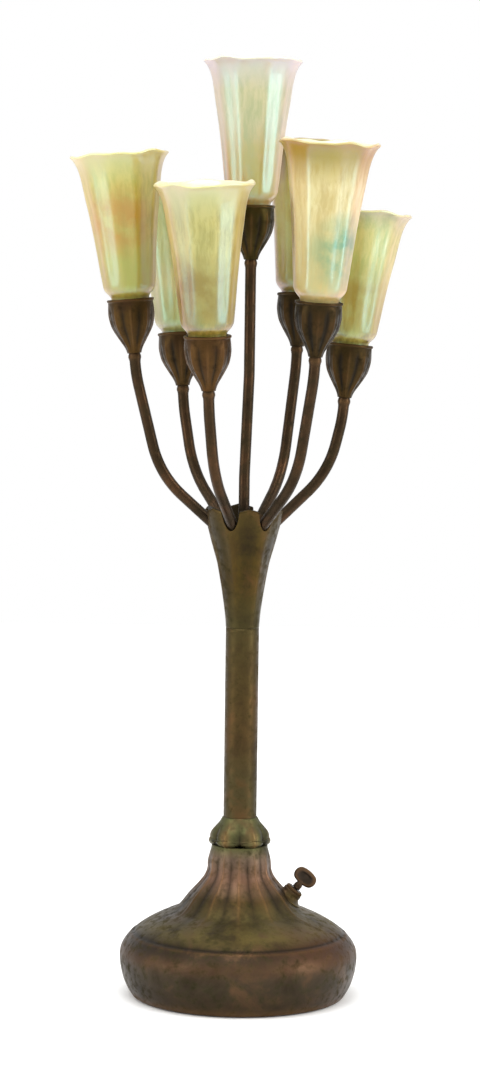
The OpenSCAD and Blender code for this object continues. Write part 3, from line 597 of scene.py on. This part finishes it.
height = (capital_line[:, 1, None] - COLUMN_TOP) / CAPITAL_H
swell = np.clip(height * 1.5, 0, 1) * (1 - height ** 6)
relief = swell * SHEATH * (sheath - 0.45)
inside = inset(capital_line, CAPITAL_WALL)
inside = inside[inside[:, 1] > HUB_Z + HUB_T]
hub_seat = np.array([(HUB_R, HUB_Z + HUB_T), (HUB_R, HUB_Z), (BORE_R - 0.2, HUB_Z),
                     (BORE_R - 0.2, COLUMN_TOP)])
outer_wall = flared(capital_line, relief)
inner_wall = flared(inside, 0.0)[::-1]
rim = (outer_wall[-1] + inner_wall[0]) / 2 + (0, 0, 0.9)
capital_grid = np.concatenate([outer_wall, rim[None], inner_wall, turned(hub_seat, angles)])
blank = np.zeros((len(capital_grid) - len(outer_wall), len(angles)))
wear = np.concatenate([0.2 * np.clip(sheath * swell, 0, 1) + 0.25 * height ** 8, blank + 0.1])
hollow = np.concatenate([1.1 * np.clip(swell * (0.4 - sheath), 0, 1), blank + 0.7])
capital = skin("flared_capital", capital_grid, column_bronze, loop=True, wear=wear, hollow=hollow)
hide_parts("capital")
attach(capital, "lamp")


# ---------------------------------------------------------------------------
# Stems: seven bronze tubes, brazed into the hub. The middle one only sways a
# little; the others bend out of the capital, up, and upright under the cups.
# ---------------------------------------------------------------------------
STEM_R, HUB_RING_R, BEND_Z = 4.65, 12, HUB_Z + HUB_T + 1
CUP_Z = [631, 515, 557, 522, 551, 522, 551]
REACH = [3, 85, 95, 85, 95, 85, 95]
FAN = [math.radians(degrees) for degrees in (0, 46, 48, 46, 48, 46, 48)]
CUP_LEAN, RISE_LEAN, SWAY = math.radians(5), math.radians(14), math.radians(2)
SWAY_FROM = BEND_Z + 0.25 * (CUP_Z[0] - BEND_Z)
FIRST_BEND, MAIN_BEND, LAST_BEND, LAST_STRAIGHT, STEM_IN = 22, 85, 130, 8, 16
STEM_STEP = 1.5


def stem_path(i):
    """A stem's middle line in its own plane: place along x and z, and lean from upright, at even steps. It
    is made of straights and arcs. An outer stem's two long straights are solved so that it ends at the foot
    of its cup; the middle stem sways to the side of the axis between two slight bends."""
    f, c, e, b = FAN[i], RISE_LEAN, CUP_LEAN, MAIN_BEND
    if i == 0:
        x_from, z_from = 0, HUB_Z + 2
        long = (REACH[0] - 2 * LAST_BEND * (1 - math.cos(SWAY))) / math.sin(SWAY)
        top = SWAY_FROM + 2 * LAST_BEND * math.sin(SWAY) + long * math.cos(SWAY)
        steps = [(SWAY_FROM - z_from, 0), (LAST_BEND * SWAY, SWAY), (long, 0), (LAST_BEND * SWAY, -SWAY),
                 (CUP_Z[0] + STEM_IN - top, 0)]
    else:
        x_from, z_from = HUB_RING_R, HUB_Z
        out = (REACH[i] - HUB_RING_R - FIRST_BEND * (1 - math.cos(f)) - b * (math.cos(c) - math.cos(f))
               - LAST_BEND * (math.cos(e) - math.cos(c)) - LAST_STRAIGHT * math.sin(e))
        rise = (CUP_Z[i] - BEND_Z - FIRST_BEND * math.sin(f) - b * (math.sin(f) - math.sin(c))
                - LAST_BEND * (math.sin(c) - math.sin(e)) - LAST_STRAIGHT * math.cos(e))
        first = (out * math.cos(c) - rise * math.sin(c)) / math.sin(f - c)
        second = (rise * math.sin(f) - out * math.cos(f)) / math.sin(f - c)
        steps = [(BEND_Z - HUB_Z, 0), (FIRST_BEND * f, f), (first, 0), (b * (f - c), c - f), (second, 0),
                 (LAST_BEND * (c - e), e - c), (LAST_STRAIGHT + STEM_IN, 0)]
    ends = np.cumsum([0] + [length for length, bend in steps])
    leans = np.cumsum([0] + [bend for length, bend in steps])
    along = np.linspace(0, ends[-1], int(ends[-1] / STEM_STEP))
    lean = np.interp(along, ends, leans)
    middle = (lean[1:] + lean[:-1]) / 2
    x = x_from + np.concatenate([[0], np.cumsum(np.sin(middle) * along[1])])
    z = z_from + np.concatenate([[0], np.cumsum(np.cos(middle) * along[1])])
    return x, z, lean


def tube(x, z, lean, radius):
    """A round tube carried along a line in the x-z plane: the line plus r cos a along its normal and
    r sin a along y."""
    x, z, lean, r = x[:, None], z[:, None], lean[:, None], radius[:, None]
    across, sideways = r * np.cos(around(32)), r * np.sin(around(32))
    return np.stack([x + across * np.cos(lean), sideways, z - across * np.sin(lean)], -1)


def about_axis(degrees):
    """Rotation matrix about the lamp's axis."""
    c, s = math.cos(math.radians(degrees)), math.sin(math.radians(degrees))
    return np.array([[c, -s, 0], [s, c, 0], [0, 0, 1]])


# a small ring swells each tube just below its cup
RING, RING_HALF = 0.9, 2.2
stem_bronze = bronze("bent_bronze_tube_dark_patina", [(370, "#33291f"), (460, "#342616"), (650, "#3d2c1c")],
                     "#241b0f", "#503622", "#35311f", 0.36)
for i in range(7):
    x, z, lean = stem_path(i)
    from_end = np.arange(len(x))[::-1] * STEM_STEP
    thick = STEM_R + RING * bell(from_end, STEM_IN + 3, RING_HALF)
    stem = skin(f"stem_tube_{i + 1}", tube(x, z, lean, thick) @ about_axis(STEM_TURN[i]).T, stem_bronze,
                ends=True, wear=0.3 * bell(from_end, STEM_IN + 3, 2)[:, None], hollow=0.0)
    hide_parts(f"stem_{i + 1}")
    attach(stem, "lamp")


# ---------------------------------------------------------------------------
# Cups: a cast calyx on the end of each stem, ribbed like a bud, with a rolled
# rim. A ledge inside it carries the glass.
# ---------------------------------------------------------------------------
CUP_H, CUP_WALL, CUP_BORE_R, SEAT_Z, SEAT_R, CUP_RIBS = 46, 1.9, 17.1, 30, 11.8, 8
CUP_R = CUP_BORE_R + CUP_WALL


def on_arm(grid, i):
    """Points from a cup's frame, its foot at the origin, to the lamp's: leaned outwards and set at the end
    of the arm. Directions round the cup stay those of the lamp."""
    turn = about_axis(STEM_TURN[i])
    lean = leaned(CUP_LEAN if i else 0.0)
    return grid @ (turn @ lean @ turn.T).T + (REACH[i] * turn[0, 0], REACH[i] * turn[1, 0], CUP_Z[i])


cup_line = chain(
    curve((STEM_R + 1.3, 0), (STEM_R + 2.2, 8), (CUP_R - 6, 14), (CUP_R - 2.2, 23), 20),
    curve((CUP_R - 2.2, 23), (CUP_R, 30), (CUP_R + 0.2, CUP_H - 8), (CUP_R, CUP_H - 2.6), 16))
cup_rest = np.concatenate([
    soften([(CUP_R, CUP_H - 2.6), (CUP_R + 0.9, CUP_H - 2.0), (CUP_R + 0.9, CUP_H - 0.4),
            (CUP_R - 0.4, CUP_H), (CUP_BORE_R, CUP_H - 0.3), (CUP_BORE_R, SEAT_Z), (SEAT_R, SEAT_Z),
            (SEAT_R, SEAT_Z - 2)], 0.5)[4:],
    inset(cup_line, CUP_WALL)[21:3:-3], [(STEM_R + 3, 6), (STEM_R + 0.1, 6), (STEM_R + 0.1, 0)]])
angles = around(160)
lobe = np.abs(np.cos(angles * CUP_RIBS / 2))
z = cup_line[:, 1, None]
rib_share = ramp(z, 0, 10) * ramp(z, CUP_H - 4, CUP_H - 13)
relief = rib_share * (0.8 * (lobe - MEAN_LOBE) + 0.55 * bell(lobe, 1, 0.015))
r, blank = cup_rest[:, 0, None], np.zeros((len(cup_rest), len(angles)))
cup_wear = np.concatenate([0.6 * np.clip(relief, 0, 1), blank + 0.35 * (r > CUP_R + 0.4)])
cup_hollow = np.concatenate([0.8 * np.clip(-relief / 0.5, 0, 1), blank + 0.5 * (r < CUP_BORE_R + 0.2)])
cup_bronze = bronze("cup_bronze_red_brown_patina", [(500, "#372a06"), (690, "#2f2807")],
                    "#1b1306", "#4c3211", "#2f2c0e", 0.4)
cup_grid = np.concatenate([turned(cup_line, angles, relief), turned(cup_rest, angles)])
# no two cups took the patina alike: how dark and how red each one is
CUP_DARK = [0.1, 0.35, 0.5, 0.2, 0.05, 0.0, 0.55]
CUP_RED = [0.0, 0.1, 0.1, 0.2, 0.2, 0.3, 0.1]
for i in range(7):
    cup = skin(f"calyx_cup_{i + 1}", on_arm(cup_grid, i), cup_bronze, loop=True, wear=cup_wear,
               hollow=np.clip(cup_hollow + CUP_DARK[i], 0, 1), flush=CUP_RED[i])
    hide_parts(f"cup_{i + 1}")
    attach(cup, "lamp")


# ---------------------------------------------------------------------------
# Lights: a candle-size socket of moulded phenolic in each cup, and a small
# blown and frosted bulb that screws into it.
# ---------------------------------------------------------------------------
dress(phenolic, *[f"socket_{i}" for i in range(1, 8)])
BULB_R, BULB_LEN, BULB_BASE_R, BULB_BASE_LEN, BULB_Z = 11, 50, 5.95, 13, 42
bulb_line = chain(
    np.array([(BULB_BASE_R, -BULB_BASE_LEN), (BULB_BASE_R, 0)]),
    curve((BULB_BASE_R, 0), (BULB_BASE_R + 0.4, 5), (BULB_R, 8), (BULB_R, 0.38 * BULB_LEN), 14),
    curve((BULB_R, 0.38 * BULB_LEN), (BULB_R, 0.68 * BULB_LEN), (0.36 * BULB_R, 0.9 * BULB_LEN),
          (0.05, BULB_LEN - 0.02), 24))
# the frosting is a fine etch of about 1.4 mm, which softens every highlight
frost, tree, shader = material("frosted_bulb_glass")
place = add(tree, "TexCoord").outputs["Object"]
etch = add(tree, "TexNoise", {"Vector": place, "Scale": 700.0, "Detail": 3.0}).outputs["Fac"]
tint = add(tree, "ValToRGB", {"Fac": etch}, stops=[(0.3, "#b9b29f"), (0.7, "#c8c2b0")])
bump = add(tree, "Bump", {"Height": etch, "Strength": 0.2, "Distance": 0.00005})
feed(tree, shader, {"Base Color": tint.outputs["Color"], "Roughness": 0.42, "Subsurface Weight": 0.6,
                    "Subsurface Scale": 0.004, "Normal": bump.outputs["Normal"]})
bulb_grid = turned(bulb_line, around(48)) + (0, 0, BULB_Z)
for i in range(7):
    bulb = skin(f"frosted_bulb_{i + 1}", on_arm(bulb_grid, i), frost, ends=True)
    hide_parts(f"bulb_{i + 1}")
    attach(bulb, "lamp")


# ---------------------------------------------------------------------------
# Wiring: cotton-braided leads through the column and the stems, joined in a
# glazed porcelain block inside the foot.
# ---------------------------------------------------------------------------
# the glaze is thicker and paler in clouds of some 11 mm
glaze, tree, shader = material("glazed_porcelain")
place = add(tree, "TexCoord").outputs["Object"]
cloud = add(tree, "TexNoise", {"Vector": place, "Scale": 90.0, "Detail": 3.0})
tint = add(tree, "ValToRGB", {"Fac": cloud.outputs["Fac"]}, stops=[(0.35, "#dcd6c6"), (0.7, "#ece7da")])
feed(tree, shader, {"Base Color": tint.outputs["Color"], "Roughness": 0.18})
dress(glaze, "splice_block")

# the braid's diagonal bands are about 1 mm apart
braid, tree, shader = material("cotton_braided_lead")
place = add(tree, "TexCoord").outputs["Object"]
weave = add(tree, "TexWave", {"Vector": place, "Scale": 260.0, "Distortion": 3.0, "Detail": 2.0},
            bands_direction="DIAGONAL")
tint = add(tree, "ValToRGB", {"Fac": weave.outputs["Fac"]}, stops=[(0.2, "#7c6023"), (0.8, "#c39d45")])
feed(tree, shader, {"Base Color": tint.outputs["Color"], "Roughness": 0.85})
dress(braid, "stem_leads", "switch_leads")


# ---------------------------------------------------------------------------
# Shades: seven blown tulip blooms of iridescent art glass, each a little
# different. Pulled threads of colour run up from the neck to the flared lip.
# ---------------------------------------------------------------------------
GLASS, GLASS_NECK_R, NECK_LEN = 2.2, 16.0, 14
SHADE_LOW_R, SHADE_LOW_Z, THROAT_R, THROAT_Z, LIP_R, SHADE_H = 22, 11, 30.5, 82, 41.25, 120
FLUTES, FLUTE_DEPTH, RUFFLE, FINE_RUFFLE = 10, 0.45, 0.8, 0.35
OPAL_INSIDE = "#dcd3ab"


def lustre_glass(name, body, thread, patch, lip, low, patch_at, patch_size):
    """Opal art glass sprayed with metal salts while hot: threads of colour some 4 mm wide are pulled up the
    height, a patch of another colour floats in, the lip takes its own tint, the inside stays a paler opal,
    and the skin is iridescent. A fine pulled ripple of some 2 mm catches the light."""
    made, tree, shader = material(name)
    own = add(tree, "Attribute", attribute_name="own").outputs["Vector"]
    height = add(tree, "SeparateXYZ", {"Vector": own}).outputs["Z"]
    warp = add(tree, "TexNoise", {"Vector": own, "Scale": 30.0, "Detail": 2.0})
    bent = add(tree, "VectorMath", {0: warp.outputs["Color"], 1: (0.012, 0.012, 0.0)}, operation="MULTIPLY")
    wavy = add(tree, "VectorMath", {0: own, 1: bent.outputs["Vector"]}, operation="ADD")
    pulled = add(tree, "Mapping", {"Vector": wavy.outputs["Vector"], "Scale": (1.0, 1.0, 0.07)})
    threads = add(tree, "TexNoise", {"Vector": pulled.outputs["Vector"], "Scale": 170.0, "Detail": 4.0,
                                     "Roughness": 0.7})
    cloud = add(tree, "TexNoise", {"Vector": own, "Scale": 45.0, "Detail": 4.0, "Roughness": 0.6})
    low_share = fade(tree, height, 0.07, -0.005)
    tone = over(tree, low_share, colour(body), low)
    tone = over(tree, fade(tree, threads.outputs["Fac"], 0.42, 0.62), tone, thread)
    away = add(tree, "VectorMath", {0: own, 1: patch_at}, operation="DISTANCE")
    near = fade(tree, away.outputs["Value"], patch_size, patch_size * 0.35)
    ragged = fade(tree, cloud.outputs["Fac"], 0.28, 0.58)
    mask = add(tree, "Math", {0: near, 1: ragged}, operation="MULTIPLY", use_clamp=True)
    tone = over(tree, mask.outputs["Value"], tone, patch)
    tone = over(tree, fade(tree, height, 0.094, 0.119), tone, lip)
    inside = add(tree, "Attribute", attribute_name="inside")
    tone = over(tree, inside.outputs["Fac"], tone, OPAL_INSIDE)
    ripple = add(tree, "TexNoise", {"Vector": pulled.outputs["Vector"], "Scale": 420.0, "Detail": 3.0})
    bump = add(tree, "Bump", {"Height": ripple.outputs["Fac"], "Strength": 0.25, "Distance": 0.0004})
    feed(tree, shader, {"Base Color": tone, "Roughness": 0.28, "Normal": bump.outputs["Normal"],
                        "Subsurface Weight": 0.75, "Subsurface Radius": (1.0, 0.9, 0.6),
                        "Subsurface Scale": 0.006, "Coat Weight": 0.3, "Coat Roughness": 0.16,
                        "Thin Film Thickness": 380.0, "Thin Film IOR": 1.7})
    return made


# name of each bloom: body, threads, patch, lip, foot colour, patch centre and size in metres
BLOOMS = [
    ("pale_grey_green", "#b9ad8d", "#a5a07d", "#ab9a5d", "#bbb1ae", "#b38537", (0.016, -0.026, 0.024), 0.04),
    ("yellow_green", "#baab6b", "#a19a51", "#967d31", "#9f926e", "#73621a", (0.0, -0.03, 0.034), 0.04),
    ("amber", "#ac964b", "#997c40", "#b0a76b", "#83621e", "#8f7c3a", (0.0, -0.03, 0.06), 0.05),
    ("pale_green", "#b2ae79", "#9e9d66", "#b4a776", "#bab78c", "#8e874b", (0.0, -0.03, 0.05), 0.04),
    ("yellow_green_amber", "#b8a75a", "#a19644", "#ad7c29", "#bbb077", "#968339",
     (-0.004, -0.028, 0.066), 0.036),
    ("green_to_olive", "#b09f5e", "#998744", "#866310", "#b4aa78", "#6c5e0b", (-0.01, -0.024, 0.034), 0.04),
    ("amber_lipped", "#c8b687", "#b69c65", "#758863", "#977618", "#a7945c", (0.019, -0.022, 0.042), 0.036),
]
# how much taller than SHADE_H each bloom was blown
TALLER = [0, -9, 9, 3, 0, 3, 9]
angles = around(240)
for i, (hue, *tones) in enumerate(BLOOMS):
    throat, top = THROAT_Z + TALLER[i], SHADE_H + TALLER[i]
    tall, lip = throat - SHADE_LOW_Z, top - throat
    outer = chain(
        np.array([(GLASS_NECK_R, -NECK_LEN + 1.0), (GLASS_NECK_R, -NECK_LEN / 2), (GLASS_NECK_R, 0.6)]),
        curve((GLASS_NECK_R, 0.6), (GLASS_NECK_R + 0.6, 4), (SHADE_LOW_R - 1, 5),
              (SHADE_LOW_R, SHADE_LOW_Z), 12),
        curve((SHADE_LOW_R, SHADE_LOW_Z), (SHADE_LOW_R + 2.1, SHADE_LOW_Z + 0.32 * tall),
              (THROAT_R - 3.9, throat - 0.32 * tall), (THROAT_R, throat), 40),
        curve((THROAT_R, throat), (THROAT_R + 2.4, throat + 0.37 * lip), (THROAT_R + 2.9, top - 0.18 * lip),
              (LIP_R, top), 28))
    phase = 1.3 * i
    z = outer[:, 1, None]
    flute = FLUTE_DEPTH * ramp(z, 4, 24) * np.cos(FLUTES * angles + phase)
    ruffle = RUFFLE * np.sin(5 * angles + phase) + FINE_RUFFLE * np.sin(8 * angles - phase)
    out_wall = turned(outer, angles, flute)
    in_wall = turned(inset(outer, GLASS), angles, flute)
    for wall in (out_wall, in_wall):
        wall[..., 2] += ramp(z, throat, top) ** 2 * ruffle
    # the lip is rounded in three rows, fire-polished over the wall's thickness
    way = out_wall[-1] - out_wall[-3]
    way = GLASS * way / np.linalg.norm(way, axis=-1, keepdims=True)
    lip_rows = [share * out_wall[-1] + (1 - share) * in_wall[-1] + proud * way
                for share, proud in ((0.85, 0.32), (0.5, 0.45), (0.15, 0.32))]
    shade_grid = np.concatenate([out_wall, lip_rows, in_wall[::-1]])
    within = np.repeat([0.0, 0.3, 1.0], [len(out_wall), len(lip_rows), len(in_wall)])
    shade = skin(f"tulip_shade_{i + 1}", on_arm(shade_grid + (0, 0, CUP_H), i),
                 lustre_glass("lustre_glass_" + hue, *tones), loop=True,
                 own=shade_grid * MM, inside=within[:, None])
    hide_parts(f"shade_{i + 1}")
    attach(shade, f"glass_{i + 1}")
